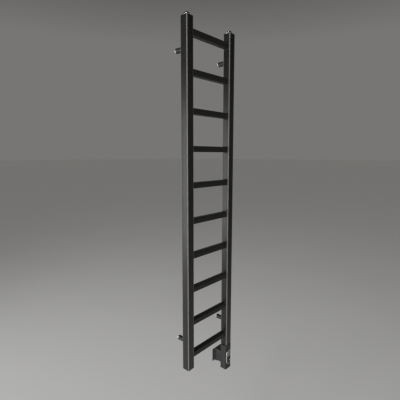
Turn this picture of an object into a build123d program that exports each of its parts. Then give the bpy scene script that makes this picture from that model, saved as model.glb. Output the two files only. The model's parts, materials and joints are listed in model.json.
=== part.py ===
from build123d import *
from math import asin, cos, sin
import os

# Electric towel warmer: a ladder of ten square rungs welded between two square
# posts, filled with heating fluid, held off the wall by four round brackets, with
# an immersion heater and its control head under the right-hand post.
#
# Millimetres. +Z is up, -Y is the room side, and the wall is the plane Y = 0.
# The origin is the centre of the four wall fixings.

# ---------------------------------------------------------------- ladder
rail_height = 1200.0        # length of a post
rail_width = 250.0          # over the outer sides of the posts
post_side = 30.0
post_wall = 1.5
post_corner = 2.5           # outer radius of a post's long edges
rung_count = 10
rung_side = 20.0
rung_wall = 1.5
rung_corner = 1.5
top_gap = 35.0              # top of a post to the top of the highest rung
bottom_gap = 38.0           # lower end of a post to the underside of the lowest rung
flow_hole = 14.0            # fluid passage from a post into a rung, diameter
weld_leg = 1.6              # height of the weld bead round a rung's end
weld_slope = 40.0           # degrees
corner_margin = 0.5         # an inner corner is this much rounder than the tube's

# ---------------------------------------------------------------- wall brackets
wall_gap = 32.0             # back of the posts to the wall
bracket_top = 98.0          # top of a post to the upper brackets
bracket_low = 102.0         # lower end of a post to the lower brackets
sleeve_diameter = 17.0
sleeve_play = 0.5           # sleeve to the spigot's flange
boss_diameter = 12.0        # welded bush on the back of a post
boss_height = 6.0
spigot_diameter = 12.0
spigot_flange = 2.0
spigot_length = 13.0        # stem in front of the flange
wall_screw_hole = 5.5
countersink_diameter = 10.0
web = 3.0                   # inner wall of the sleeve that the screw clamps
slide_clearance = 0.1       # radial, between sleeve, boss and spigot
post_screw = 6.0            # M6 socket-head screw
post_screw_head = 10.0
post_screw_head_height = 5.0
post_screw_grip = 5.0       # length in the boss
grub_screw = 4.0            # M4
hex_key_large = 5.0
hex_key_small = 2.0
thread_clearance = 0.05     # radial, between a screw and its hole

# ---------------------------------------------------------------- end sockets and plugs
thread_diameter = 20.96     # G 1/2
socket_depth = 12.0
shank_clearance = 0.2       # radial
seal_thickness = 1.0
seal_margin = 0.4           # the seal ends this far inside the flange's rim
plug_flange = 24.0
plug_flange_height = 2.2
plug_flats = 21.0           # across the two spanner flats
plug_height = 11.5          # over the post's end
dome_step = 0.8             # the dome starts this far inside the flange's rim
vent_screw = 6.0
vent_screw_length = 8.0
vent_screw_sink = 0.6       # head of the screw below the dome's top
vent_bore = 3.0
vent_outlet = 1.5
vent_slot_width = 1.2
vent_slot_depth = 1.4

# ---------------------------------------------------------------- immersion heater
heater_flange = 26.0
heater_flange_height = 2.0
neck_diameter = 18.0
neck_length = 12.0
heater_length = 380.0       # above the post's lower end
sheath_diameter = 10.0
sheath_wall = 0.5
sensor_diameter = 4.0
sensor_wall = 0.4
sensor_length = 110.0
bore_margin = 1.5           # metal between a bore and the rim of the threaded shank
braze_gap = 0.05
core_clearance = 0.3
core_start = 8.0            # above the lower end of the sheath
cutout_diameter = 6.0
cutout_length = 12.0
cutout_gap = 2.0
pin_diameter = 2.0
pin_pitch = 4.5
pin_length = 14.0

# ---------------------------------------------------------------- control head
head_width = 34.0
head_depth = 28.0
head_height = 104.0
head_wall = 2.0
head_corner = 2.0
head_edge = 1.2
neck_clearance = 0.2
neck_nut = 21.0
neck_nut_height = 4.0
cover_thickness = 2.2
gasket_thickness = 0.8
gasket_inset = 0.4
pillar_diameter = 4.4
pillar_inset = 0.2          # a pillar sinks this far into the side wall
cover_screw = 2.2
cover_screw_head = 4.4
cover_screw_length = 9.0
face_margin = 2.5           # head's side to the bezel
bezel_height = 60.0
bezel_top = 22.0            # top of the head to the top of the bezel
bezel_rim = 2.2
bezel_stand = 3.0           # bezel in front of the head
bezel_round = 1.3
key_height = 26.0           # upper part of the window, taken by the key
window_clearance = 0.25
split_gap = 0.5
face_set_back = 0.6         # key and lens behind the bezel's rim
face_round = 0.9
lip = 1.2                   # overlap of the key's and the lens's flange on the wall
lip_thickness = 1.0
key_travel = 0.8
switch_side = 6.0
switch_height = 3.0
plunger_diameter = 3.2
plunger_sink = 0.4          # plunger's length inside the switch at rest
plunger_clearance = 0.08
switch_floor = 0.4

# ---------------------------------------------------------------- electronics
board_thickness = 1.6
board_stand = 5.0           # front wall to the board
board_side_gap = 2.0
board_top = 16.0            # top of the head to the board
board_bottom = 9.0
board_screw = 2.5
board_screw_head = 4.4
board_screw_head_height = 1.6
board_screw_grip = 4.0
board_screw_inset = 4.0
led_side = 2.0
led_height = 1.2
led_pitch = 6.0
led_count = 3
part_side_gap = 3.0         # board's edge to a component
component_gap = 2.0
transformer_height = 13.0
transformer_depth = 12.0
relay_height = 11.0
relay_depth = 9.0
terminal_height = 10.0
terminal_depth = 9.0
terminal_ways = 3
terminal_screw = 3.0

# ---------------------------------------------------------------- cable duct
duct_width = 30.0
duct_height = 48.0
duct_wall = 2.0
duct_length = 21.0
duct_corner = 2.0
duct_top = 34.0             # top of the head to the top of the duct
rim_height = 4.0            # cover's rim that holds the duct
rim_wall = 1.6
rim_clearance = 0.2
collar_depth = 16.0
collar_wall = 1.7
collar_clearance = 0.3
collar_flange_reach = 13.0  # flange on the wall, beyond each side of the collar
collar_flange_thickness = 3.0
collar_flange_corner = 2.0
gland_thread = 12.0
gland_flange = 16.0
gland_flange_height = 3.0
gland_length = 6.0
gland_bore = 7.0
gland_nut = 15.0            # across flats
gland_nut_height = 3.0

# ---------------------------------------------------------------- derived places
post_x = (rail_width - post_side) / 2
post_y = -(wall_gap + post_side / 2)
post_inside = post_side - 2 * post_wall
post_inner_corner = max(post_corner - post_wall, corner_margin)
bracket_spacing = rail_height - bracket_top - bracket_low
bracket_z = bracket_spacing / 2
post_bottom = -bracket_z - bracket_low
post_top = post_bottom + rail_height

rung_length = rail_width - 2 * post_side
rung_pitch = (rail_height - top_gap - bottom_gap - rung_side) / (rung_count - 1)
rung_top_z = post_top - top_gap - rung_side / 2
rung_heights = [rung_top_z - rung_pitch * step for step in range(rung_count)]

sleeve_length = wall_gap - spigot_flange - sleeve_play
shank_radius = thread_diameter / 2 - shank_clearance
seal_outer = plug_flange / 2 - seal_margin
seal_inner = thread_diameter / 2

head_x = post_x
head_top = post_bottom - seal_thickness - heater_flange_height
head_bottom = head_top - head_height
head_middle = (head_top + head_bottom) / 2
head_front = post_y - head_depth / 2
head_back = post_y + head_depth / 2
cover_front = head_back - cover_thickness
housing_back = cover_front - gasket_thickness
housing_depth = housing_back - head_front
inside_front = head_front + head_wall
inside_width = head_width - 2 * head_wall
inside_height = head_height - 2 * head_wall

bezel_width = head_width - 2 * face_margin
window_width = bezel_width - 2 * bezel_rim
window_height = bezel_height - 2 * bezel_rim
window_middle = head_top - bezel_top - bezel_height / 2
window_top = window_middle + window_height / 2
split_z = window_top - key_height
lens_middle = (split_z + window_middle - window_height / 2) / 2
face_front = head_front - bezel_stand + face_set_back
key_z = window_top - (key_height + window_width / 2) / 3

board_front = inside_front + board_stand
board_back = board_front + board_thickness
board_width = inside_width - 2 * board_side_gap
board_high = head_top - board_top
board_low = head_bottom + board_bottom
component_width = board_width - 2 * part_side_gap

duct_middle = head_top - duct_top - duct_height / 2

neck_bottom = head_top - neck_length
sheath_x = head_x - (shank_radius - bore_margin - sheath_diameter / 2)
sensor_x = head_x + (shank_radius - bore_margin - sensor_diameter / 2)
sheath_top = post_bottom + heater_length
core_bottom = neck_bottom + core_start
core_radius = sheath_diameter / 2 - sheath_wall - core_clearance
core_top = sheath_top - sheath_diameter / 2 - cutout_length - cutout_gap

SIDES = {"left": -1, "right": 1}
ENDS = {"top": 1, "bottom": -1}

os.makedirs("parts", exist_ok=True)


def save(builder, name):
    """Label a finished piece and write it as parts/<name>.step."""
    builder.part.label = name
    export_step(builder.part, f"parts/{name}.step")


def end_plane(side, end):
    """Plane on a post's end face, on the post's axis, its normal out of the post."""
    height = post_top if end > 0 else post_bottom
    return Plane(origin=(side * post_x, post_y, height), x_dir=(1, 0, 0), z_dir=(0, 0, end))


def upright_plane(side, end):
    """Plane through a post's axis, X across and Y out of the post's end."""
    height = post_top if end > 0 else post_bottom
    return Plane(origin=(side * post_x, post_y, height), x_dir=(1, 0, 0), z_dir=(0, -end, 0))


def bracket_plane(side, end, depth):
    """Plane across a bracket's axis, `depth` behind the post, its normal to the wall."""
    origin = (side * post_x, depth - wall_gap, end * bracket_z)
    return Plane(origin=origin, x_dir=(1, 0, 0), z_dir=(0, 1, 0))


def facing(depth, height, direction):
    """Plane across Y in the head, its normal along `direction` Y and its Y axis up or down."""
    return Plane(origin=(head_x, depth, height), x_dir=(1, 0, 0), z_dir=(0, direction, 0))


# ================================================================ ladder
def build_post(name, side):
    """A square tube with a round passage into each rung through its inner wall."""
    inner_face = Plane(
        origin=(side * (post_x - post_side / 2), post_y, 0), x_dir=(0, 1, 0), z_dir=(side, 0, 0)
    )
    with BuildPart() as post:
        with BuildSketch(end_plane(side, -1)):
            RectangleRounded(post_side, post_side, post_corner)
            RectangleRounded(post_inside, post_inside, post_inner_corner, mode=Mode.SUBTRACT)
        extrude(amount=-rail_height)
        with BuildSketch(inner_face):
            with Locations(*[(0, side * height) for height in rung_heights]):
                Circle(flow_hole / 2)
        extrude(amount=post_wall, mode=Mode.SUBTRACT)
    save(post, name)


for side_name, side_sign in SIDES.items():
    build_post(f"{side_name}_post", side_sign)

for number, height in enumerate(rung_heights, start=1):
    with BuildPart() as rung:
        with BuildSketch(Plane.YZ.offset(-rung_length / 2)):
            with Locations((post_y, height)):
                RectangleRounded(rung_side, rung_side, rung_corner)
                RectangleRounded(
                    rung_side - 2 * rung_wall,
                    rung_side - 2 * rung_wall,
                    corner_margin,
                    mode=Mode.SUBTRACT,
                )
        extrude(amount=rung_length)
    save(rung, f"rung_{number:02d}")

with BuildPart() as rung_welds:
    for side_sign in SIDES.values():
        post_face = Plane(
            origin=(side_sign * rung_length / 2, post_y, 0), x_dir=(0, 1, 0), z_dir=(-side_sign, 0, 0)
        )
        rung_ends = [(0, -side_sign * height) for height in rung_heights]
        with BuildSketch(post_face):
            with Locations(*rung_ends):
                RectangleRounded(
                    rung_side + 2 * weld_leg, rung_side + 2 * weld_leg, rung_corner + weld_leg
                )
        extrude(amount=weld_leg, taper=weld_slope)
        with BuildSketch(post_face):
            with Locations(*rung_ends):
                RectangleRounded(rung_side, rung_side, rung_corner)
        extrude(amount=weld_leg, mode=Mode.SUBTRACT)
save(rung_welds, "rung_welds")


# ================================================================ end sockets and plugs
def build_socket(name, side, end):
    """The threaded block that is welded into the end of a post."""
    with BuildPart() as socket:
        with BuildSketch(end_plane(side, end)):
            RectangleRounded(post_inside, post_inside, post_inner_corner + corner_margin)
            Circle(thread_diameter / 2, mode=Mode.SUBTRACT)
        extrude(amount=-socket_depth)
    save(socket, name)


for end_name, end_sign in ENDS.items():
    for side_name, side_sign in SIDES.items():
        build_socket(f"{end_name}_{side_name}_socket", side_sign, end_sign)


def build_plug(name, side, end, vented):
    """A round domed plug; a vented one is bored for the bleed screw."""
    flange_top = seal_thickness + plug_flange_height
    dome_radius = plug_flange / 2 - dome_step
    dome_rise = plug_height - flange_top
    ball = (dome_radius**2 + dome_rise**2) / (2 * dome_rise)
    half_angle = asin(min(dome_radius / ball, 1.0)) / 2
    half_way = (ball * sin(half_angle), plug_height - ball + ball * cos(half_angle))
    post_axis = Axis((side * post_x, post_y, 0), (0, 0, 1))
    face = end_plane(side, end)
    with BuildPart() as plug:
        with BuildSketch(upright_plane(side, end)):
            with BuildLine():
                Polyline(
                    (0, plug_height),
                    (0, -socket_depth),
                    (shank_radius, -socket_depth),
                    (shank_radius, seal_thickness),
                    (plug_flange / 2, seal_thickness),
                    (plug_flange / 2, flange_top),
                    (dome_radius, flange_top),
                )
                ThreePointArc((dome_radius, flange_top), half_way, (0, plug_height))
            make_face()
        revolve(axis=post_axis)
        rim = plug.edges().filter_by(GeomType.CIRCLE).filter_by(
            lambda edge: abs(edge.radius - plug_flange / 2) < 1e-3
        )
        chamfer(rim, length=dome_step / 2)
        with BuildSketch(face.offset(seal_thickness)):
            with GridLocations(0, 2 * plug_flats, 1, 2):
                Rectangle(2 * plug_flange, plug_flats)
        extrude(amount=plug_flange_height, mode=Mode.SUBTRACT)
        if vented:
            with BuildSketch(face.offset(plug_height)):
                Circle(vent_screw / 2 + thread_clearance)
            extrude(amount=-vent_screw_length, mode=Mode.SUBTRACT)
            with BuildSketch(face.offset(-socket_depth)):
                Circle(vent_bore / 2)
            extrude(amount=socket_depth + plug_height, mode=Mode.SUBTRACT)
            outlet_height = post_top + (flange_top + plug_height) / 2
            with BuildSketch(Plane(origin=(side * post_x, post_y, outlet_height), z_dir=(0, 1, 0))):
                Circle(vent_outlet / 2)
            extrude(amount=plug_flange, mode=Mode.SUBTRACT)
    save(plug, name)


build_plug("top_left_plug", -1, 1, vented=False)
build_plug("top_right_vent_plug", 1, 1, vented=True)
build_plug("bottom_left_plug", -1, -1, vented=False)

with BuildPart() as bleed_screw:
    with BuildSketch(end_plane(1, 1).offset(plug_height - vent_screw_length)):
        Circle(vent_screw / 2)
    extrude(amount=vent_screw_length - vent_screw_sink)
    with BuildSketch(end_plane(1, 1).offset(plug_height - vent_screw_sink)):
        Rectangle(vent_screw, vent_slot_width)
    extrude(amount=-vent_slot_depth, mode=Mode.SUBTRACT)
save(bleed_screw, "bleed_screw")

with BuildPart() as plug_seals:
    for side_sign, end_sign in ((-1, 1), (1, 1), (-1, -1)):
        with BuildSketch(end_plane(side_sign, end_sign)):
            Circle(seal_outer)
            Circle(seal_inner, mode=Mode.SUBTRACT)
        extrude(amount=seal_thickness)
save(plug_seals, "plug_seals")


# ================================================================ wall brackets
def build_sleeve(name, side, end):
    """The round sleeve between post and wall, screwed to the post's bush."""
    boss_pocket = boss_height + sleeve_play
    with BuildPart() as sleeve:
        with BuildSketch(bracket_plane(side, end, 0)):
            Circle(sleeve_diameter / 2)
        extrude(amount=sleeve_length)
        wall_rim = sleeve.faces().sort_by(Axis.Y)[-1].edges()
        chamfer(wall_rim, length=sleeve_play)
        with BuildSketch(bracket_plane(side, end, 0)):
            Circle(boss_diameter / 2 + slide_clearance)
        extrude(amount=boss_pocket, mode=Mode.SUBTRACT)
        with BuildSketch(bracket_plane(side, end, boss_pocket)):
            Circle(post_screw / 2 + slide_clearance)
        extrude(amount=web, mode=Mode.SUBTRACT)
        with BuildSketch(bracket_plane(side, end, boss_pocket + web)):
            Circle(spigot_diameter / 2 + slide_clearance)
        extrude(amount=sleeve_length, mode=Mode.SUBTRACT)
        with BuildSketch(grub_plane(side, end)):
            Circle(grub_screw / 2 + thread_clearance)
        extrude(amount=sleeve_diameter, mode=Mode.SUBTRACT)
    save(sleeve, name)


def grub_plane(side, end):
    """Plane through a bracket's axis, half way along the spigot, its normal down."""
    depth = -(spigot_flange + (spigot_length + sleeve_play) / 2)
    return Plane(origin=(side * post_x, depth, end * bracket_z), x_dir=(1, 0, 0), z_dir=(0, 0, -1))


def build_spigot(name, side, end):
    """The flanged wall spigot, drilled and countersunk for the wall screw."""
    flange_start = wall_gap - spigot_flange
    with BuildPart() as spigot:
        with BuildSketch(bracket_plane(side, end, flange_start)):
            Circle(sleeve_diameter / 2)
        extrude(amount=spigot_flange)
        with BuildSketch(bracket_plane(side, end, flange_start)):
            Circle(spigot_diameter / 2)
        extrude(amount=-spigot_length)
        with Locations(bracket_plane(side, end, flange_start - spigot_length).location):
            with Locations(Rotation(180, 0, 0)):
                CounterSinkHole(
                    radius=wall_screw_hole / 2, counter_sink_radius=countersink_diameter / 2
                )
    save(spigot, name)


for end_name, end_sign in ENDS.items():
    for side_name, side_sign in SIDES.items():
        build_sleeve(f"bracket_sleeve_{end_name}_{side_name}", side_sign, end_sign)
        build_spigot(f"wall_spigot_{end_name}_{side_name}", side_sign, end_sign)

corners = [(side_sign, end_sign) for end_sign in ENDS.values() for side_sign in SIDES.values()]

with BuildPart() as post_bosses:
    for corner in corners:
        with BuildSketch(bracket_plane(*corner, 0)):
            Circle(boss_diameter / 2)
        extrude(amount=boss_height)
        with BuildSketch(bracket_plane(*corner, boss_height)):
            Circle(post_screw / 2 + thread_clearance)
        extrude(amount=-(post_screw_grip + corner_margin), mode=Mode.SUBTRACT)
save(post_bosses, "post_bosses")

with BuildPart() as bracket_screws:
    head_seat = boss_height + sleeve_play + web
    for corner in corners:
        with BuildSketch(bracket_plane(*corner, head_seat)):
            Circle(post_screw / 2)
        extrude(amount=-(web + sleeve_play + post_screw_grip))
        with BuildSketch(bracket_plane(*corner, head_seat)):
            Circle(post_screw_head / 2)
        extrude(amount=post_screw_head_height)
        with BuildSketch(bracket_plane(*corner, head_seat + post_screw_head_height)):
            RegularPolygon(hex_key_large / 2, 6, major_radius=False)
        extrude(amount=-post_screw_head_height / 2, mode=Mode.SUBTRACT)
save(bracket_screws, "bracket_screws")

with BuildPart() as grub_screws:
    for corner in corners:
        tip = spigot_diameter / 2 + thread_clearance
        length = sleeve_diameter / 2 - tip - corner_margin / 2
        with BuildSketch(grub_plane(*corner).offset(tip)):
            Circle(grub_screw / 2)
        extrude(amount=length)
        with BuildSketch(grub_plane(*corner).offset(tip + length)):
            RegularPolygon(hex_key_small / 2, 6, major_radius=False)
        extrude(amount=-length / 2, mode=Mode.SUBTRACT)
save(grub_screws, "grub_screws")

# ================================================================ immersion heater
heater_face = end_plane(1, -1)

with BuildPart() as heater_nut:
    with BuildSketch(heater_face.offset(seal_thickness)):
        Circle(shank_radius)
    extrude(amount=-(socket_depth + seal_thickness))
    with BuildSketch(heater_face.offset(seal_thickness)):
        Circle(heater_flange / 2)
    extrude(amount=heater_flange_height)
    with BuildSketch(heater_face.offset(seal_thickness + heater_flange_height)):
        Circle(neck_diameter / 2)
    extrude(amount=neck_length)
    with BuildSketch(Plane.XY.offset(neck_bottom)):
        with Locations((sheath_x, post_y)):
            Circle(sheath_diameter / 2 + braze_gap)
        with Locations((sensor_x, post_y)):
            Circle(sensor_diameter / 2 + braze_gap)
    extrude(amount=neck_length + heater_flange_height + seal_thickness + socket_depth, mode=Mode.SUBTRACT)
save(heater_nut, "heater_nut")

with BuildPart() as heater_gasket:
    with BuildSketch(heater_face):
        Circle(heater_flange / 2 - seal_margin)
        Circle(seal_inner, mode=Mode.SUBTRACT)
    extrude(amount=seal_thickness)
save(heater_gasket, "heater_gasket")


def build_tube(name, centre, diameter, wall, top):
    """A metal tube from the neck's lower end to `top`, closed by a round end."""
    outer, inner = diameter / 2, diameter / 2 - wall
    round_start = top - outer
    with BuildPart() as tube:
        with BuildSketch(Plane(origin=(centre, post_y, 0), x_dir=(1, 0, 0), z_dir=(0, -1, 0))):
            with BuildLine():
                Polyline(
                    (inner, round_start), (inner, neck_bottom), (outer, neck_bottom), (outer, round_start)
                )
                RadiusArc((outer, round_start), (0, top), -outer)
                Line((0, top), (0, top - wall))
                RadiusArc((0, top - wall), (inner, round_start), inner)
            make_face()
        revolve(axis=Axis((centre, post_y, 0), (0, 0, 1)))
    save(tube, name)


build_tube("heater_sheath", sheath_x, sheath_diameter, sheath_wall, sheath_top)
build_tube("sensor_tube", sensor_x, sensor_diameter, sensor_wall, post_bottom + sensor_length)

with BuildPart() as heater_core:
    with BuildSketch(Plane.XY.offset(core_bottom)):
        with Locations((sheath_x, post_y)):
            Circle(core_radius)
    extrude(amount=core_top - core_bottom)
save(heater_core, "heater_core")

with BuildPart() as thermal_cutout:
    with BuildSketch(Plane.XY.offset(core_top)):
        with Locations((sheath_x, post_y)):
            Circle(cutout_diameter / 2)
    extrude(amount=cutout_length)
    chamfer(thermal_cutout.edges().filter_by(GeomType.CIRCLE), length=corner_margin)
save(thermal_cutout, "thermal_cutout")

with BuildPart() as heater_pins:
    with BuildSketch(Plane.XY.offset(core_bottom)):
        with Locations((sheath_x, post_y)):
            with GridLocations(pin_pitch, 0, 2, 1):
                Circle(pin_diameter / 2)
    extrude(amount=-pin_length)
save(heater_pins, "heater_pins")

# ================================================================ control head
pillar_x = inside_width / 2 - pillar_diameter / 2 + pillar_inset
pillar_z = inside_height / 2 - pillar_diameter / 2 + pillar_inset
board_post_x = board_width / 2 - board_screw_inset
board_middle = (board_high + board_low) / 2
board_post_z = (board_high - board_low) / 2 - board_screw_inset

with BuildPart() as head_housing:
    with BuildSketch(Plane.XY.offset(head_bottom)):
        with Locations((head_x, (head_front + housing_back) / 2)):
            Rectangle(head_width, housing_depth)
    extrude(amount=head_height)
    fillet(head_housing.edges().filter_by(Axis.Z).group_by(Axis.Y)[0], radius=head_corner)
    fillet(head_housing.faces().sort_by(Axis.Y)[0].edges(), radius=head_edge)
    with BuildSketch(facing(housing_back, head_middle, -1)):
        Rectangle(inside_width, inside_height)
    extrude(amount=housing_depth - head_wall, mode=Mode.SUBTRACT)
    with BuildSketch(facing(housing_back, head_middle, -1)):
        with GridLocations(2 * pillar_x, 2 * pillar_z, 2, 2):
            Circle(pillar_diameter / 2)
    extrude(amount=housing_depth - head_wall)
    with BuildSketch(facing(inside_front, board_middle, 1)):
        with GridLocations(2 * board_post_x, 2 * board_post_z, 2, 2):
            Circle(pillar_diameter / 2)
    extrude(amount=board_stand)
    with BuildSketch(facing(housing_back, head_middle, -1)):
        with GridLocations(2 * pillar_x, 2 * pillar_z, 2, 2):
            Circle(cover_screw / 2 + thread_clearance)
    extrude(amount=cover_screw_length, mode=Mode.SUBTRACT)
    with BuildSketch(facing(board_front, board_middle, -1)):
        with GridLocations(2 * board_post_x, 2 * board_post_z, 2, 2):
            Circle(board_screw / 2 + thread_clearance)
    extrude(amount=board_screw_grip + corner_margin, mode=Mode.SUBTRACT)
    with BuildSketch(facing(head_front, window_middle, 1)):
        SlotOverall(window_height, window_width, rotation=90)
    extrude(amount=head_wall, mode=Mode.SUBTRACT)
    with BuildSketch(Plane.XY.offset(head_top - head_wall)):
        with Locations((head_x, post_y)):
            Circle(neck_diameter / 2 + neck_clearance)
    extrude(amount=head_wall, mode=Mode.SUBTRACT)
save(head_housing, "head_housing")

with BuildPart() as neck_ring:
    with BuildSketch(Plane.XY.offset(head_top - head_wall)):
        with Locations((head_x, post_y)):
            Circle(neck_nut / 2)
            Circle(neck_diameter / 2 + thread_clearance, mode=Mode.SUBTRACT)
    extrude(amount=-neck_nut_height)
save(neck_ring, "neck_ring")

with BuildPart() as cover_gasket:
    with BuildSketch(facing(housing_back, head_middle, 1)):
        Rectangle(head_width - 2 * gasket_inset, head_height - 2 * gasket_inset)
        Rectangle(inside_width + gasket_inset, inside_height + gasket_inset, mode=Mode.SUBTRACT)
    extrude(amount=gasket_thickness)
save(cover_gasket, "cover_gasket")

with BuildPart() as rear_cover:
    with BuildSketch(facing(cover_front, head_middle, 1)):
        Rectangle(head_width, head_height)
    extrude(amount=cover_thickness)
    fillet(rear_cover.faces().sort_by(Axis.Y)[-1].edges(), radius=head_edge)
    with BuildSketch(facing(head_back, duct_middle, 1)):
        Rectangle(
            duct_width - 2 * duct_wall - 2 * rim_clearance, duct_height - 2 * duct_wall - 2 * rim_clearance
        )
        Rectangle(
            duct_width - 2 * (duct_wall + rim_clearance + rim_wall),
            duct_height - 2 * (duct_wall + rim_clearance + rim_wall),
            mode=Mode.SUBTRACT,
        )
    extrude(amount=rim_height)
    with BuildSketch(facing(head_back, duct_middle, -1)):
        Circle(gland_thread / 2 + slide_clearance)
    extrude(amount=cover_thickness, mode=Mode.SUBTRACT)
    with Locations(facing(head_back, head_middle, 1).location):
        with GridLocations(2 * pillar_x, 2 * pillar_z, 2, 2):
            CounterSinkHole(
                radius=cover_screw / 2 + slide_clearance,
                counter_sink_radius=cover_screw_head / 2 + slide_clearance,
            )
save(rear_cover, "rear_cover")

with BuildPart() as cover_screws:
    for across in (-pillar_x, pillar_x):
        for up in (-pillar_z, pillar_z):
            screw_plane = Plane(
                origin=(head_x + across, 0, head_middle + up), x_dir=(1, 0, 0), z_dir=(0, -1, 0)
            )
            with BuildSketch(screw_plane.offset(-head_back)):
                Circle(cover_screw_head / 2)
            extrude(amount=(cover_screw_head - cover_screw) / 2, taper=45)
            with BuildSketch(screw_plane.offset(-head_back)):
                Circle(cover_screw / 2)
            extrude(amount=cover_screw_length)
            with BuildSketch(screw_plane.offset(-head_back)):
                Rectangle(cover_screw, cover_screw / 4)
                Rectangle(cover_screw / 4, cover_screw)
            extrude(amount=cover_screw / 4, mode=Mode.SUBTRACT)
save(cover_screws, "cover_screws")

with BuildPart() as bezel:
    with BuildSketch(facing(head_front, window_middle, -1)):
        SlotOverall(bezel_height, bezel_width, rotation=90)
        SlotOverall(window_height, window_width, rotation=90, mode=Mode.SUBTRACT)
    extrude(amount=bezel_stand)
    bezel_outline = bezel.faces().sort_by(Axis.Y)[0].outer_wire().edges()
    fillet(bezel_outline, radius=bezel_round)
save(bezel, "bezel")


def build_window_piece(name, lower):
    """Lens or key: one part of the pill window, with a lip behind the front wall."""
    cut_height = window_height + lip
    cut_shift = (cut_height - split_gap) / 2
    if lower:
        cut_shift = -cut_shift
    cut_middle = split_z - cut_shift - window_middle
    front = facing(face_front, window_middle, 1)
    back = facing(inside_front, window_middle, 1)
    with BuildPart() as piece:
        with BuildSketch(front):
            SlotOverall(
                window_height - 2 * window_clearance, window_width - 2 * window_clearance, rotation=90
            )
            with Locations((0, -cut_middle)):
                Rectangle(window_width, cut_height, mode=Mode.SUBTRACT)
        extrude(amount=inside_front - face_front)
        fillet(piece.faces().sort_by(Axis.Y)[0].edges(), radius=face_round)
        with BuildSketch(back):
            SlotOverall(window_height + lip, window_width + lip, rotation=90)
            with Locations((0, -cut_middle)):
                Rectangle(window_width + 2 * lip, cut_height, mode=Mode.SUBTRACT)
        extrude(amount=lip_thickness)
    save(piece, name)


build_window_piece("power_key", lower=False)
build_window_piece("display_lens", lower=True)

key_back = inside_front + lip_thickness
switch_front = board_front - switch_height
plunger_hole = plunger_sink + key_travel + switch_floor

with BuildPart() as key_switch:
    with BuildSketch(facing(board_front, key_z, -1)):
        Rectangle(switch_side, switch_side)
    extrude(amount=switch_height)
    with BuildSketch(facing(switch_front, key_z, 1)):
        Circle(plunger_diameter / 2 + plunger_clearance)
    extrude(amount=plunger_hole, mode=Mode.SUBTRACT)
save(key_switch, "key_switch")

with BuildPart() as switch_plunger:
    with BuildSketch(facing(key_back, key_z, 1)):
        Circle(plunger_diameter / 2)
    extrude(amount=switch_front - key_back + plunger_sink)
save(switch_plunger, "switch_plunger")

# ================================================================ electronics
with BuildPart() as circuit_board:
    with BuildSketch(facing(board_front, board_middle, 1)):
        Rectangle(board_width, board_high - board_low)
        with GridLocations(2 * board_post_x, 2 * board_post_z, 2, 2):
            Circle(board_screw / 2 + slide_clearance, mode=Mode.SUBTRACT)
    extrude(amount=board_thickness)
save(circuit_board, "circuit_board")

with BuildPart() as board_screws:
    with BuildSketch(facing(board_back, board_middle, 1)):
        with GridLocations(2 * board_post_x, 2 * board_post_z, 2, 2):
            Circle(board_screw_head / 2)
    extrude(amount=board_screw_head_height)
    with BuildSketch(facing(board_back, board_middle, -1)):
        with GridLocations(2 * board_post_x, 2 * board_post_z, 2, 2):
            Circle(board_screw / 2)
    extrude(amount=board_thickness + board_screw_grip)
save(board_screws, "board_screws")

with BuildPart() as status_leds:
    with BuildSketch(facing(board_front, lens_middle, -1)):
        with GridLocations(0, led_pitch, 1, led_count):
            Rectangle(led_side, led_side)
    extrude(amount=led_height)
save(status_leds, "status_leds")


def build_component(name, top, height, depth):
    """A block on the back of the circuit board, its upper edges eased."""
    with BuildPart() as component:
        with BuildSketch(facing(board_back, top - height / 2, 1)):
            Rectangle(component_width, height)
        extrude(amount=depth)
        chamfer(component.faces().sort_by(Axis.Y)[-1].edges(), length=corner_margin)
    save(component, name)


transformer_top = board_high - board_screw_inset - board_screw_head / 2 - component_gap / 2
relay_top = transformer_top - transformer_height - component_gap
build_component("transformer", transformer_top, transformer_height, transformer_depth)
build_component("relay", relay_top, relay_height, relay_depth)

terminal_top = duct_middle - gland_nut / 2 - component_gap
with BuildPart() as terminal_block:
    with BuildSketch(facing(board_back, terminal_top - terminal_height / 2, 1)):
        Rectangle(component_width, terminal_height)
    extrude(amount=terminal_depth)
    with BuildSketch(facing(board_back + terminal_depth, terminal_top - terminal_height / 2, -1)):
        with GridLocations(component_width / terminal_ways, 0, terminal_ways, 1):
            Circle(terminal_screw / 2)
    extrude(amount=terminal_depth / 3, mode=Mode.SUBTRACT)
save(terminal_block, "terminal_block")

# ================================================================ cable duct
with BuildPart() as cable_gland:
    with BuildSketch(facing(head_back, duct_middle, 1)):
        Circle(gland_flange / 2)
    extrude(amount=gland_flange_height)
    fillet(cable_gland.faces().sort_by(Axis.Y)[-1].edges(), radius=head_edge)
    with BuildSketch(facing(head_back, duct_middle, -1)):
        Circle(gland_thread / 2)
    extrude(amount=gland_length)
    with BuildSketch(facing(head_back - gland_length, duct_middle, 1)):
        Circle(gland_bore / 2)
    extrude(amount=gland_length + gland_flange_height, mode=Mode.SUBTRACT)
save(cable_gland, "cable_gland")

with BuildPart() as gland_ring:
    with BuildSketch(facing(cover_front, duct_middle, -1)):
        RegularPolygon(gland_nut / 2, 6, major_radius=False)
        Circle(gland_thread / 2 + thread_clearance, mode=Mode.SUBTRACT)
    extrude(amount=gland_nut_height)
save(gland_ring, "gland_ring")

with BuildPart() as cable_duct:
    with BuildSketch(facing(head_back, duct_middle, 1)):
        RectangleRounded(duct_width, duct_height, duct_corner)
        Rectangle(duct_width - 2 * duct_wall, duct_height - 2 * duct_wall, mode=Mode.SUBTRACT)
    extrude(amount=duct_length)
save(cable_duct, "cable_duct")

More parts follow.
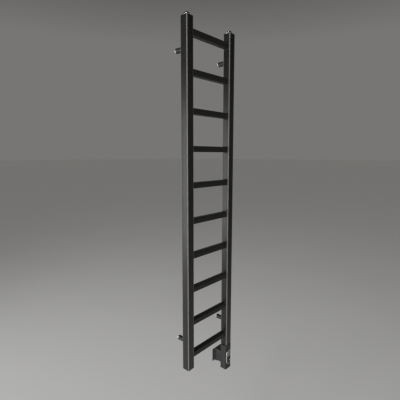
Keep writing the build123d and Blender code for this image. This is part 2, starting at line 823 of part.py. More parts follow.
collar_gap = 2 * collar_clearance
collar_growth = collar_gap + 2 * collar_wall
collar_width = duct_width + collar_growth
collar_height = duct_height + collar_growth
with BuildPart() as wall_collar:
    with BuildSketch(facing(0, duct_middle, -1)):
        RectangleRounded(collar_width + 2 * collar_flange_reach, collar_height, collar_flange_corner)
    extrude(amount=collar_flange_thickness)
    with BuildSketch(facing(0, duct_middle, -1)):
        RectangleRounded(collar_width, collar_height, duct_corner + collar_wall)
    extrude(amount=collar_depth)
    with BuildSketch(facing(0, duct_middle, -1)):
        RectangleRounded(duct_width + collar_gap, duct_height + collar_gap, duct_corner)
    extrude(amount=collar_depth, mode=Mode.SUBTRACT)
save(wall_collar, "wall_collar")
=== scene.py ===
"""Looks of an electric towel warmer: a black ladder rail on four wall brackets.

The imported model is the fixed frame. This file dresses its nodes, models the pieces whose
surface matters most, and stands the rail in a plain pale studio. Everything is in metres.
"""

import json
import logging
import math
from collections.abc import Callable, Iterator
from contextlib import contextmanager
from dataclasses import dataclass, field
from enum import Enum

import bmesh
import bpy
from mathutils import Matrix, Vector


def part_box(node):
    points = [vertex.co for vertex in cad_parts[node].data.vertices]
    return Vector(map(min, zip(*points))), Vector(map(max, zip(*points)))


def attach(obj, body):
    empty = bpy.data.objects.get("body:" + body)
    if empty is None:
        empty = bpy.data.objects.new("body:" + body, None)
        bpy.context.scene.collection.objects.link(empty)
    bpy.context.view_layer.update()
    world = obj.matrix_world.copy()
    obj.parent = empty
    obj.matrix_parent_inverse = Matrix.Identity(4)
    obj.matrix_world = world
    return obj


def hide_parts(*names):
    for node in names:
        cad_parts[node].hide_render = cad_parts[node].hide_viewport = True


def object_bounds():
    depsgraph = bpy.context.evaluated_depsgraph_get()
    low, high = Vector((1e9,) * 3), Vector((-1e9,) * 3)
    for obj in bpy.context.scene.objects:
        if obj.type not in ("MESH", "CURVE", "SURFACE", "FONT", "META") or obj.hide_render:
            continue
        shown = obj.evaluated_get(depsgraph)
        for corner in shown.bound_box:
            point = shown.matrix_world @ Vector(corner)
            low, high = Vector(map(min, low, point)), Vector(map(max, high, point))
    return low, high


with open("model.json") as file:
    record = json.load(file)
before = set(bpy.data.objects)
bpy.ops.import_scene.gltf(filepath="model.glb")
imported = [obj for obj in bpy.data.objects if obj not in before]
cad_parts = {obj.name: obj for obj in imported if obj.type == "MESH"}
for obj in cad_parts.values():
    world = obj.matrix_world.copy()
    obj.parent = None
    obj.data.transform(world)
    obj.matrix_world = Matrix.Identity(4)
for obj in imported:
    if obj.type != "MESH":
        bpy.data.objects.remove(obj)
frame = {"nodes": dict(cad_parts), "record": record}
cad_low, cad_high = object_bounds()

log = logging.getLogger("towel_warmer")

RAIL = "rail"
MM = 0.001
MERGE = 1e-6
EDGE = "edge"
X, Y, Z = Vector((1, 0, 0)), Vector((0, 1, 0)), Vector((0, 0, 1))

Point = tuple[float, float]
Colour = tuple[float, float, float]


# ---------------------------------------------------------------- finishes
class Grain(Enum):
    """What breaks up a finish's surface, as noise stretch along X, Y and Z."""

    EVEN = (1.0, 1.0, 1.0)
    DRAWN = (1.0, 1.0, 0.02)
    TURNED = (0.15, 0.15, 1.0)


@dataclass(frozen=True)
class Finish:
    """One surface finish, from which its procedural material is made."""

    name: str
    colour: Colour
    second: Colour
    roughness: float
    roughness_spread: float = 0.08
    metallic: float = 0.0
    grain: Grain = Grain.EVEN
    grain_size: float = 0.8 * MM
    grain_depth: float = 0.02 * MM
    mottle_size: float = 30 * MM
    dust: float = 0.0
    # Strength and lift of the paler line along marked edges: rubbed finish, and partly a painted
    # highlight of the rounded corners.
    edge_wear_and_highlight: float = 0.0
    edge_lift_wear_and_highlight: float = 0.05
    coat: float = 0.0
    specular: float = 0.5
    glow: float = 0.0

    def material(self) -> bpy.types.Material:
        """Build the node tree of this finish.

        Returns:
            The material, made once and kept under the finish's name.
        """
        known = bpy.data.materials.get(self.name)
        if known:
            return known
        made = bpy.data.materials.new(self.name)
        made.use_nodes = True
        tree = made.node_tree
        shader = tree.nodes["Principled BSDF"]
        shader.inputs["Metallic"].default_value = self.metallic
        shader.inputs["Coat Weight"].default_value = self.coat
        shader.inputs["Coat Roughness"].default_value = 0.06
        shader.inputs["Specular IOR Level"].default_value = self.specular
        place = tree.nodes.new("ShaderNodeTexCoord").outputs["Object"]
        mottle = self._noise(tree, place, self.mottle_size, detail=4.0)
        grain = self._noise(tree, place, self.grain_size, detail=3.0, stretch=self.grain.value)
        colour = self._mix(tree, mottle, self.colour, self.second)
        # Paler line along marked edges: rubbed finish, and also a painted highlight where the
        # rounded corners catch the light.
        if self.edge_wear_and_highlight:
            worn_and_highlit = self._edge_highlight_and_wear_mask(tree, grain)
            highlight_and_wear_colour = tuple(min(1.0, channel * 2.2 + self.edge_lift_wear_and_highlight) for channel in self.colour)
            colour = self._mix(tree, worn_and_highlit, colour, highlight_and_wear_colour)
        if self.dust:
            colour = self._mix(tree, self._dust_mask(tree, mottle), colour, (0.42, 0.40, 0.37))
        tree.links.new(colour, shader.inputs["Base Color"])
        if self.glow:
            tree.links.new(colour, shader.inputs["Emission Color"])
            shader.inputs["Emission Strength"].default_value = self.glow
        rough = tree.nodes.new("ShaderNodeMapRange")
        rough.inputs["To Min"].default_value = max(0.02, self.roughness - self.roughness_spread)
        rough.inputs["To Max"].default_value = self.roughness + self.roughness_spread
        tree.links.new(mottle, rough.inputs["Value"])
        tree.links.new(rough.outputs["Result"], shader.inputs["Roughness"])
        bump = tree.nodes.new("ShaderNodeBump")
        bump.inputs["Distance"].default_value = self.grain_depth
        tree.links.new(grain, bump.inputs["Height"])
        tree.links.new(bump.outputs["Normal"], shader.inputs["Normal"])
        return made

    @staticmethod
    def _noise(
        tree: bpy.types.NodeTree,
        place: bpy.types.NodeSocket,
        size: float,
        detail: float,
        stretch: tuple[float, float, float] = (1.0, 1.0, 1.0),
    ) -> bpy.types.NodeSocket:
        """Add a noise pattern.

        Args:
            tree: Node tree to add to.
            place: Object coordinates.
            size: Width of a typical blotch, in metres.
            detail: Octaves of finer noise.
            stretch: Scale of the pattern along X, Y and Z.

        Returns:
            The pattern's value, about 0.3 to 0.7.
        """
        mapping = tree.nodes.new("ShaderNodeMapping")
        mapping.inputs["Scale"].default_value = stretch
        noise = tree.nodes.new("ShaderNodeTexNoise")
        noise.inputs["Scale"].default_value = 1.0 / size
        noise.inputs["Detail"].default_value = detail
        tree.links.new(place, mapping.inputs["Vector"])
        tree.links.new(mapping.outputs["Vector"], noise.inputs["Vector"])
        return noise.outputs["Fac"]

    @staticmethod
    def _mix(
        tree: bpy.types.NodeTree,
        factor: bpy.types.NodeSocket,
        first: bpy.types.NodeSocket | Colour,
        second: Colour,
    ) -> bpy.types.NodeSocket:
        """Blend a colour towards another by a factor.

        Args:
            tree: Node tree to add to.
            factor: How much of the second colour shows.
            first: Colour or colour output to start from.
            second: Colour to go to.

        Returns:
            The blended colour.
        """
        mix = tree.nodes.new("ShaderNodeMix")
        mix.data_type = "RGBA"
        tree.links.new(factor, mix.inputs["Factor"])
        if isinstance(first, tuple):
            mix.inputs["A"].default_value = (*first, 1.0)
        else:
            tree.links.new(first, mix.inputs["A"])
        mix.inputs["B"].default_value = (*second, 1.0)
        return mix.outputs["Result"]

    def _edge_highlight_and_wear_mask(
        self, tree: bpy.types.NodeTree, grain: bpy.types.NodeSocket
    ) -> bpy.types.NodeSocket:
        """Find the paler line along a piece's edges, broken up by the grain: rubbed finish and a
        painted highlight of the rounded corners.

        Args:
            tree: Node tree to add to.
            grain: Value of the grain pattern.

        Returns:
            How much of the paler edge colour shows, rubbed finish and painted highlight together.
        """
        attribute = tree.nodes.new("ShaderNodeAttribute")
        attribute.attribute_name = EDGE
        product = tree.nodes.new("ShaderNodeMath")
        product.operation = "MULTIPLY"
        tree.links.new(attribute.outputs["Fac"], product.inputs[0])
        tree.links.new(grain, product.inputs[1])
        scaled = tree.nodes.new("ShaderNodeMath")
        scaled.operation = "MULTIPLY"
        scaled.inputs[1].default_value = self.edge_wear_and_highlight
        tree.links.new(product.outputs[0], scaled.inputs[0])
        return scaled.outputs[0]

    def _dust_mask(
        self, tree: bpy.types.NodeTree, mottle: bpy.types.NodeSocket
    ) -> bpy.types.NodeSocket:
        """Find how much dust lies on a surface that faces up.

        Args:
            tree: Node tree to add to.
            mottle: Value of the blotch pattern.

        Returns:
            How much of the dust's colour shows.
        """
        normal = tree.nodes.new("ShaderNodeNewGeometry").outputs["Normal"]
        split = tree.nodes.new("ShaderNodeSeparateXYZ")
        tree.links.new(normal, split.inputs["Vector"])
        facing = tree.nodes.new("ShaderNodeMapRange")
        facing.inputs["From Min"].default_value = 0.6
        facing.inputs["To Max"].default_value = self.dust
        tree.links.new(split.outputs["Z"], facing.inputs["Value"])
        product = tree.nodes.new("ShaderNodeMath")
        product.operation = "MULTIPLY"
        tree.links.new(facing.outputs["Result"], product.inputs[0])
        tree.links.new(mottle, product.inputs[1])
        return product.outputs[0]


FINISHES: dict[str, Finish] = {
    "powder_coat": Finish(
        "satin_black_powder_coat",
        colour=(0.013, 0.013, 0.012),
        second=(0.018, 0.0175, 0.016),
        roughness=0.38,
        roughness_spread=0.05,
        grain_size=0.9 * MM,
        grain_depth=0.03 * MM,
        dust=0.03,
        # The strong pale edge line paints the highlight along the rounded tube corners, together
        # with a little rubbed paint.
        edge_wear_and_highlight=1.5,
        edge_lift_wear_and_highlight=0.18,
        specular=0.28,
    ),
    "bracket_steel": Finish(
        "polished_black_steel",
        colour=(0.008, 0.008, 0.0075),
        second=(0.012, 0.012, 0.0115),
        roughness=0.44,
        roughness_spread=0.04,
        grain=Grain.TURNED,
        grain_size=0.4 * MM,
        grain_depth=0.006 * MM,
        edge_wear_and_highlight=0.3,
        specular=0.25,
    ),
    "chrome": Finish(
        "polished_chrome",
        colour=(0.82, 0.82, 0.83),
        second=(0.76, 0.76, 0.77),
        roughness=0.14,
        roughness_spread=0.03,
        metallic=1.0,
        grain_size=0.5 * MM,
        grain_depth=0.001 * MM,
        mottle_size=8 * MM,
    ),
    "key_metal": Finish(
        "brushed_key",
        colour=(0.26, 0.26, 0.25),
        second=(0.22, 0.22, 0.21),
        roughness=0.2,
        roughness_spread=0.04,
        metallic=1.0,
        grain=Grain.DRAWN,
        grain_size=0.15 * MM,
        grain_depth=0.002 * MM,
        mottle_size=6 * MM,
    ),
    "lens": Finish(
        "smoked_lens",
        colour=(0.012, 0.009, 0.007),
        second=(0.022, 0.016, 0.012),
        roughness=0.12,
        roughness_spread=0.03,
        grain_size=2 * MM,
        grain_depth=0.002 * MM,
        specular=0.35,
    ),
    "head_plastic": Finish(
        "moulded_dark_grey",
        colour=(0.032, 0.034, 0.033),
        second=(0.039, 0.041, 0.040),
        roughness=0.52,
        roughness_spread=0.06,
        grain_size=0.35 * MM,
        grain_depth=0.03 * MM,
        mottle_size=20 * MM,
        dust=0.05,
        specular=0.18,
        edge_wear_and_highlight=1.2,
        edge_lift_wear_and_highlight=0.12,
    ),
    "plated_steel": Finish(
        "zinc_plated_steel",
        colour=(0.52, 0.52, 0.50),
        second=(0.40, 0.41, 0.42),
        roughness=0.34,
        metallic=1.0,
        grain=Grain.TURNED,
        grain_size=0.3 * MM,
        grain_depth=0.01 * MM,
        mottle_size=4 * MM,
    ),
    "brass": Finish(
        "turned_brass",
        colour=(0.62, 0.44, 0.18),
        second=(0.50, 0.34, 0.13),
        roughness=0.28,
        metallic=1.0,
        grain=Grain.TURNED,
        grain_size=0.3 * MM,
        grain_depth=0.008 * MM,
        mottle_size=5 * MM,
    ),
    "rubber": Finish(
        "black_rubber",
        colour=(0.014, 0.014, 0.014),
        second=(0.022, 0.022, 0.021),
        roughness=0.75,
        grain_size=0.3 * MM,
        grain_depth=0.03 * MM,
        mottle_size=6 * MM,
    ),
    "ceramic": Finish(
        "pressed_ceramic",
        colour=(0.70, 0.67, 0.60),
        second=(0.60, 0.57, 0.50),
        roughness=0.7,
        grain_size=0.5 * MM,
        grain_depth=0.04 * MM,
        mottle_size=9 * MM,
    ),
    "board": Finish(
        "green_solder_mask",
        colour=(0.02, 0.11, 0.045),
        second=(0.012, 0.075, 0.03),
        roughness=0.3,
        grain_size=1.2 * MM,
        grain_depth=0.015 * MM,
        mottle_size=5 * MM,
    ),
    "component": Finish(
        "moulded_component",
        colour=(0.022, 0.022, 0.023),
        second=(0.03, 0.03, 0.03),
        roughness=0.5,
        grain_size=0.25 * MM,
        grain_depth=0.02 * MM,
        mottle_size=5 * MM,
    ),
    "led": Finish(
        "status_light",
        colour=(0.55, 0.09, 0.05),
        second=(0.45, 0.06, 0.04),
        roughness=0.2,
        grain_size=0.6 * MM,
        grain_depth=0.005 * MM,
        mottle_size=2 * MM,
        coat=1.0,
    ),
}


# ---------------------------------------------------------------- modelling helpers
def deselect() -> None:
    """Leave object mode with nothing selected."""
    if bpy.context.object and bpy.context.object.mode != "OBJECT":
        bpy.ops.object.mode_set(mode="OBJECT")
    bpy.ops.object.select_all(action="DESELECT")


def activate(piece: bpy.types.Object) -> None:
    """Select one object and make it the active one.

    Args:
        piece: Object to select.
    """
    deselect()
    piece.select_set(True)
    bpy.context.view_layer.objects.active = piece


@contextmanager
def editing(piece: bpy.types.Object) -> Iterator[None]:
    """Edit a piece's mesh, and return to object mode after.

    Args:
        piece: Mesh object to edit.

    Yields:
        Nothing; the operators of the block act on the piece.
    """
    activate(piece)
    bpy.ops.object.mode_set(mode="EDIT")
    bpy.ops.mesh.select_mode(type="VERT")
    yield
    bpy.ops.object.mode_set(mode="OBJECT")


def pick_faces(piece: bpy.types.Object, wanted: Callable[[Vector, Vector], bool]) -> None:
    """In edit mode, select the faces that a test wants, and nothing else.

    Args:
        piece: Mesh object being edited.
        wanted: Test of a face's centre and normal.
    """
    bpy.ops.mesh.select_mode(type="FACE")
    bpy.ops.mesh.select_all(action="DESELECT")
    mesh = bmesh.from_edit_mesh(piece.data)
    for face in mesh.faces:
        face.select_set(wanted(face.calc_center_median(), face.normal))
    bmesh.update_edit_mesh(piece.data)


def pick_edges(piece: bpy.types.Object, wanted: Callable[[Vector, Vector], bool]) -> None:
    """In edit mode, select the edges that a test wants, and nothing else.

    Args:
        piece: Mesh object being edited.
        wanted: Test of an edge's two end points.
    """
    bpy.ops.mesh.select_mode(type="EDGE")
    bpy.ops.mesh.select_all(action="DESELECT")
    mesh = bmesh.from_edit_mesh(piece.data)
    for edge in mesh.edges:
        first, second = (vertex.co for vertex in edge.verts)
        edge.select_set(wanted(first, second))
    bmesh.update_edit_mesh(piece.data)


def pick_points(piece: bpy.types.Object, wanted: Callable[[Vector], bool]) -> None:
    """In edit mode, select the vertices that a test wants, and nothing else.

    Args:
        piece: Mesh object being edited.
        wanted: Test of a vertex's place.
    """
    bpy.ops.mesh.select_mode(type="VERT")
    bpy.ops.mesh.select_all(action="DESELECT")
    mesh = bmesh.from_edit_mesh(piece.data)
    for vertex in mesh.verts:
        vertex.select_set(wanted(vertex.co))
    mesh.select_flush_mode()
    bmesh.update_edit_mesh(piece.data)


def settle(piece: bpy.types.Object) -> None:
    """Put an object's place, turn and size into its mesh."""
    activate(piece)
    bpy.ops.object.transform_apply(location=True, rotation=True, scale=True)


def block(name: str, low: Vector, high: Vector) -> bpy.types.Object:
    """Start a piece as a box between two corners.

    Args:
        name: Name of the piece.
        low: Lowest corner.
        high: Highest corner.

    Returns:
        The piece, with its place in its mesh.
    """
    deselect()
    bpy.ops.mesh.primitive_cube_add(size=1.0, location=(low + high) / 2)
    piece = bpy.context.object
    piece.name = name
    piece.scale = high - low
    settle(piece)
    return piece


def turn(
    name: str, outline: list[Point], base: Vector, axis: Vector, steps: int = 96
) -> bpy.types.Object:
    """Turn a piece on a lathe.

    Args:
        name: Name of the piece.
        outline: Points as radius and height along the axis. The outline starts and ends
            on the axis, or closes on itself.
        base: Place of height 0 on the axis.
        axis: Direction of the axis.
        steps: Facets round the piece.

    Returns:
        The piece, with its place in its mesh.
    """
    outward = X if abs(axis.dot(X)) < 0.5 else Z
    places = [base + outward * radius + axis * height for radius, height in outline]
    deselect()
    bpy.ops.mesh.primitive_plane_add(size=MM, location=places[0])
    piece = bpy.context.object
    piece.name = name
    settle(piece)
    with editing(piece):
        bpy.ops.mesh.select_all(action="SELECT")
        bpy.ops.mesh.merge(type="CENTER")
        for start, stop in zip(places, places[1:]):
            bpy.ops.mesh.extrude_region_move(TRANSFORM_OT_translate={"value": stop - start})
        bpy.ops.mesh.select_all(action="SELECT")
        bpy.ops.mesh.spin(steps=steps, angle=math.tau, center=base, axis=axis)
        bpy.ops.mesh.select_all(action="SELECT")
        bpy.ops.mesh.remove_doubles(threshold=MERGE)
        bpy.ops.mesh.normals_make_consistent(inside=False)
    return piece


def apply(piece: bpy.types.Object, kind: str, **settings: object) -> None:
    """Add a modifier to a piece and apply it.

    Args:
        piece: Mesh object.
        kind: Blender's name of the modifier's type.
        **settings: Properties of the modifier.
    """
    modifier = piece.modifiers.new(kind.lower(), kind)
    for key, value in settings.items():
        setattr(modifier, key, value)
    activate(piece)
    bpy.ops.object.modifier_apply(modifier=modifier.name)


def ease(piece: bpy.types.Object, width: float, segments: int = 2) -> None:
    """Round every corner of a piece that is sharper than 30 degrees.

    Args:
        piece: Mesh object.
        width: Width of the rounding.
        segments: Faces across the rounding.
    """
    apply(
        piece,
        "BEVEL",
        width=width,
        segments=segments,
        limit_method="ANGLE",
        angle_limit=math.radians(30),
        harden_normals=False,
    )


def cut(piece: bpy.types.Object, cutter: bpy.types.Object) -> None:
    """Take a cutter's volume out of a piece, and remove the cutter."""
    apply(piece, "BOOLEAN", operation="DIFFERENCE", solver="EXACT", object=cutter)
    bpy.data.objects.remove(cutter)


def copy_of(piece: bpy.types.Object, name: str, move: Matrix) -> bpy.types.Object:
    """Copy a piece with its own mesh.

    Args:
        piece: Finished piece.
        name: Name of the copy.
        move: Where the copy goes, from where the piece is.

    Returns:
        The copy.
    """
    twin = piece.copy()
    twin.data = piece.data.copy()
    twin.name = name
    twin.data.transform(move)
    if move.determinant() < 0:
        twin.data.flip_normals()
    bpy.context.collection.objects.link(twin)
    return twin


def mark_edges(piece: bpy.types.Object, sharp: float = 12.0, narrow: float = 1.6 * MM) -> None:
    """Mark the narrow faces of a piece's rounded edges, where the paler line of wear and painted
    highlight shows.

    Args:
        piece: Mesh object.
        sharp: Turn in degrees above which the surface counts as bent at a side of a face.
        narrow: Width below which a face that is bent on two sides counts as an edge.
    """
    mesh = bmesh.new()
    mesh.from_mesh(piece.data)
    worn_and_highlit = []
    for face in mesh.faces:
        bent = sum(math.degrees(side.calc_face_angle(0.0)) > sharp for side in face.edges)
        longest = max(side.calc_length() for side in face.edges)
        worn_and_highlit.append(1.0 if bent >= 2 and face.calc_area() < narrow * longest else 0.0)
    mesh.free()
    attribute = piece.data.attributes.new(EDGE, "FLOAT", "FACE")
    attribute.data.foreach_set("value", worn_and_highlit)


def slot_of(node: str) -> str:
    """Material slot of a CAD node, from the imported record."""
    return next(
        part["material_slot"] for part in frame["record"]["subparts"] if part["node"] == node
    )


def face_out(piece: bpy.types.Object) -> None:
    """Turn a closed piece's faces outward.

    Args:
        piece: Mesh object.

    Raises:
        ValueError: If the piece has no faces.
    """
    if not piece.data.polygons:
        raise ValueError(f"{piece.name} has no faces")
    mesh = bmesh.new()
    mesh.from_mesh(piece.data)
    volume = mesh.calc_volume(signed=True)
    mesh.free()
    if volume < 0:
        piece.data.flip_normals()


def seal(piece: bpy.types.Object) -> None:
    """Merge the slivers that a join leaves, and close what is open."""
    with editing(piece):
        bpy.ops.mesh.select_all(action="SELECT")
        bpy.ops.mesh.remove_doubles(threshold=5 * MERGE)
        bpy.ops.mesh.select_all(action="DESELECT")
        bpy.ops.mesh.select_non_manifold()
        bpy.ops.mesh.fill_holes(sides=0)
        bpy.ops.mesh.select_all(action="SELECT")
        bpy.ops.mesh.normals_make_consistent(inside=False)


def dress(
    piece: bpy.types.Object, node: str, body: str = RAIL, replace: bool = True, worn_and_highlit: bool = True
) -> None:
    """Give a modelled piece its finish, and fasten it to the frame.

    Args:
        piece: Finished mesh object.
        node: CAD node whose finish the piece has.
        body: Body that the piece moves with.
        replace: Whether the piece stands for the node.
        worn_and_highlit: Whether the piece's edges get the paler line of rubbed finish and painted
            highlight.
    """
    face_out(piece)
    if worn_and_highlit:
        mark_edges(piece)
    activate(piece)
    bpy.ops.object.shade_smooth_by_angle(angle=math.radians(32))
    piece.data.materials.clear()
    piece.data.materials.append(FINISHES[slot_of(node)].material())
    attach(piece, body)
    if replace:
        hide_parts(node)


# ---------------------------------------------------------------- the ladder
@dataclass
class Ladder:
    """Two posts, the rungs between them and the weld beads at the rungs' ends."""

    post_wall: float = 1.5 * MM
    post_corner: float = 2.5 * MM
    rung_corner: float = 1.5 * MM
    rim: float = 0.35 * MM
    corner_steps: int = 4
    weld: float = 1.6 * MM
    weld_lip: float = 0.25 * MM
    weld_ripple: float = 0.28 * MM
    ripple_size: float = 2.2 * MM
    ripple_cuts: int = 10
    rungs: list[str] = field(default_factory=list)

    def __post_init__(self) -> None:
        """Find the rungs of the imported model, from the top down."""
        self.rungs = sorted(
            name for name in frame["nodes"] if name.startswith("rung_0") or name == "rung_10"
        )

    def tube(self, node: str, along: Vector, corner: float, rimmed: bool) -> bpy.types.Object:
        """Model a square tube where a CAD node is.

        Args:
            node: CAD node that the tube stands for.
            along: Direction of the tube.
            corner: Radius of its long outer edges.
            rimmed: Whether the outlines of its ends are rounded too.

        Returns:
            The tube, open at both ends.
        """
        low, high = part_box(node)
        middle = (low + high) / 2
        piece = block(f"{node}_tube", low, high)
        with editing(piece):
            pick_faces(piece, lambda centre, normal: abs(normal.dot(along)) > 0.9)
            bpy.ops.mesh.inset(thickness=self.post_wall)
            bpy.ops.mesh.bridge_edge_loops()
            pick_edges(piece, lambda first, second: self._outer(first, second, low, high, along))
            bpy.ops.mesh.bevel(offset=corner, segments=self.corner_steps, affect="EDGES")
            if rimmed:
                pick_edges(
                    piece,
                    lambda first, second: abs((first - second).dot(along)) < MERGE
                    and self._on_rim(first, second, low, high, middle, along),
                )
                bpy.ops.mesh.bevel(offset=self.rim, segments=2, affect="EDGES")
            bpy.ops.mesh.select_all(action="SELECT")
            bpy.ops.mesh.normals_make_consistent(inside=False)
        return piece

    @staticmethod
    def _outer(first: Vector, second: Vector, low: Vector, high: Vector, along: Vector) -> bool:
        """Tell whether an edge is one of a box's four long corners.

        Args:
            first: One end of the edge.
            second: Its other end.
            low: Lowest corner of the box.
            high: Highest corner of the box.
            along: Direction of the long corners.

        Returns:
            Whether the edge runs along a corner of the box.
        """
        if abs((first - second).dot(along)) < MERGE:
            return False
        across = [axis for axis in range(3) if abs(along[axis]) < 0.5]
        return all(
            min(abs(first[axis] - low[axis]), abs(first[axis] - high[axis])) < MERGE
            and abs(first[axis] - second[axis]) < MERGE
            for axis in across
        )

    def _on_rim(
        self,
        first: Vector,
        second: Vector,
        low: Vector,
        high: Vector,
        middle: Vector,
        along: Vector,
    ) -> bool:
        """Tell whether an edge across the tube is on the outer outline of an end.

        Args:
            first: One end of the edge.
            second: Its other end.
            low: Lowest corner of the tube's box.
            high: Highest corner of the box.
            middle: Middle of the box.
            along: Direction of the tube.

        Returns:
            Whether both ends of the edge are outside the tube's hollow.
        """
        across = [axis for axis in range(3) if abs(along[axis]) < 0.5]
        reach = [(high[axis] - low[axis]) / 2 - self.post_wall for axis in across]
        return all(
            any(
                abs(point[axis] - middle[axis]) > limit + self.rim
                for axis, limit in zip(across, reach)
            )
            for point in (first, second)
        )

    def bead(self, rung: str) -> bpy.types.Object:
        """Model the weld bead at a rung's left end.

        Args:
            rung: CAD node of the rung.

        Returns:
            A rippled ring of weld between post and rung.
        """
        low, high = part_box(rung)
        centre = (low + high) / 2
        spread = Vector((0, self.weld, self.weld))
        start = Vector((low.x, low.y, low.z)) - spread
        stop = Vector((low.x + self.weld, high.y, high.z)) + spread
        piece = block(f"{rung}_weld_left", start, stop)
        shrink = ((high.y - low.y) / 2 + self.weld_lip) / ((high.y - low.y) / 2 + self.weld)
        with editing(piece):
            pick_faces(piece, lambda middle, normal: normal.x > 0.9)
            bpy.ops.transform.resize(
                value=(1, shrink, shrink), center_override=(stop.x, centre.y, centre.z)
            )
            pick_edges(piece, lambda first, second: abs(first.x - second.x) > MERGE)
            bpy.ops.mesh.bevel(offset=self.rung_corner + self.weld, segments=3, affect="EDGES")
            pick_faces(piece, lambda middle, normal: abs(normal.x) < 0.95)
            bpy.ops.mesh.subdivide(number_cuts=self.ripple_cuts, quadcorner="INNERVERT")
        clouds = bpy.data.textures.new("weld_ripple", "CLOUDS")
        clouds.noise_scale = self.ripple_size
        apply(
            piece,
            "DISPLACE",
            texture=clouds,
            texture_coords="LOCAL",
            strength=self.weld_ripple,
            mid_level=0.6,
        )
        cut(piece, block("rung_outline", low, high))
        return piece

    def build(self) -> None:
        """Make the posts, the rungs and the welds."""
        for node in ("left_post", "right_post"):
            dress(self.tube(node, Z, self.post_corner, rimmed=True), node)
        for node in self.rungs:
            dress(self.tube(node, X, self.rung_corner, rimmed=False), node, worn_and_highlit=False)
        first = self.bead(self.rungs[0])
        dress(first, "rung_welds")
        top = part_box(self.rungs[0])[0].z
        for rung in self.rungs:
            drop = Matrix.Translation((0, 0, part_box(rung)[0].z - top))
            left = first if rung == self.rungs[0] else copy_of(first, f"{rung}_weld_left", drop)
            flip = Matrix.Scale(-1, 4, X)
            right = copy_of(left, f"{rung}_weld_right", flip)
            for piece in (left, right):
                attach(piece, RAIL)
        log.info("ladder: 2 posts, %d rungs, %d welds", len(self.rungs), 2 * len(self.rungs))


# ---------------------------------------------------------------- the plugs
@dataclass
class Plug:
    """A round domed chrome plug in a post's end."""

    node: str
    post: str
    up: float
    vented: bool = False
    flange: float = 12 * MM
    flats: float = 10.5 * MM
    seal: float = 1 * MM
    flange_top: float = 3.2 * MM
    groove: float = 0.5 * MM
    dome: float = 11.2 * MM
    height: float = 11.5 * MM
    shank: float = 10.28 * MM
    depth: float = 12 * MM
    bore: float = 3.25 * MM
    bore_depth: float = 8 * MM
    throat: float = 1.5 * MM
    outlet: float = 0.75 * MM
    dome_steps: int = 14

    def outline(self) -> list[Point]:
        """Outline of the plug from its inner end to the dome's top.

        Returns:
            Radius and height of each point, closed on the axis or round the bore.
        """
        rise = self.height - self.flange_top
        ball = (self.dome**2 + rise**2) / (2 * rise)
        start = math.asin(min(1.0, self.dome / ball))
        stop = math.asin(self.bore / ball) if self.vented else 0.0
        arc = []
        for step in range(self.dome_steps + 1):
            angle = start + (stop - start) * step / self.dome_steps
            arc.append((ball * math.sin(angle), self.height - ball + ball * math.cos(angle)))
        inner = self.throat if self.vented else 0.0
        points = [
            (inner, -self.depth),
            (self.shank, -self.depth),
            (self.shank, self.seal),
            (self.flange, self.seal),
            (self.flange, self.flange_top),
            (self.dome, self.flange_top),
            (self.dome - self.groove, self.flange_top + self.groove / 2),
            *arc[1:],
        ]
        if self.vented:
            floor = self.height - self.bore_depth
            points += [(self.bore, floor), (self.throat, floor), (self.throat, -self.depth)]
        return points

    def build(self) -> None:
        """Turn the plug, mill its flats and drill its outlet."""
        low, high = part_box(self.post)
        middle = (low + high) / 2
        end = Vector((middle.x, middle.y, high.z if self.up > 0 else low.z))
        axis = Z * self.up
        piece = turn(f"{self.node}_turned", self.outline(), end, axis)
        ease(piece, 0.25 * MM)
        for side in (-1, 1):
            near = end + axis * (self.seal - MM) + Vector((-2 * self.flange, side * self.flats, 0))
            out = Vector((2 * self.flange, side * 2 * self.flange, 0))
            far = end + axis * self.flange_top + out
            low_corner = Vector(map(min, near, far))
            high_corner = Vector(map(max, near, far))
            cut(piece, block("flat", low_corner, high_corner))
        if self.vented:
            level = end + axis * (self.flange_top + self.height) / 2
            drill = [(0, 0), (self.outlet, 0), (self.outlet, 2 * self.dome), (0, 2 * self.dome)]
            cut(piece, turn("drill", drill, level, Y, steps=24))
        dress(piece, self.node)
        log.info("plug %s", self.node)


# ---------------------------------------------------------------- the brackets
@dataclass
class BracketSleeve:
    """The round sleeve between a post and the wall."""

    corner: str
    boss: float = 6.1 * MM
    boss_depth: float = 6.5 * MM
    hole: float = 3.1 * MM
    web: float = 3 * MM
    grub: float = 2.05 * MM
    spigot_flange: float = 2 * MM
    spigot_stem: float = 13.5 * MM

    def build(self) -> None:
        """Turn the sleeve and drill its grub-screw hole."""
        node = f"bracket_sleeve_{self.corner}"
        low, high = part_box(node)
        radius, length = (high.x - low.x) / 2, high.y - low.y
        base = Vector(((low.x + high.x) / 2, low.y, (low.z + high.z) / 2))
        web_end = self.boss_depth + self.web
        outline = [
            (self.boss, 0),
            (radius, 0),
            (radius, length),
            (self.boss, length),
            (self.boss, web_end),
            (self.hole, web_end),
            (self.hole, self.boss_depth),
            (self.boss, self.boss_depth),
            (self.boss, 0),
        ]
        piece = turn(f"{node}_turned", outline, base, Y, steps=72)
        ease(piece, 0.35 * MM, segments=3)
        seat = base + Y * (-base.y - self.spigot_flange - self.spigot_stem / 2)
        drill = [(0, 0), (self.grub, 0), (self.grub, 2 * radius), (0, 2 * radius)]
        cut(piece, turn("drill", drill, seat, -Z, steps=32))
        dress(piece, node)
        log.info("bracket %s", self.corner)


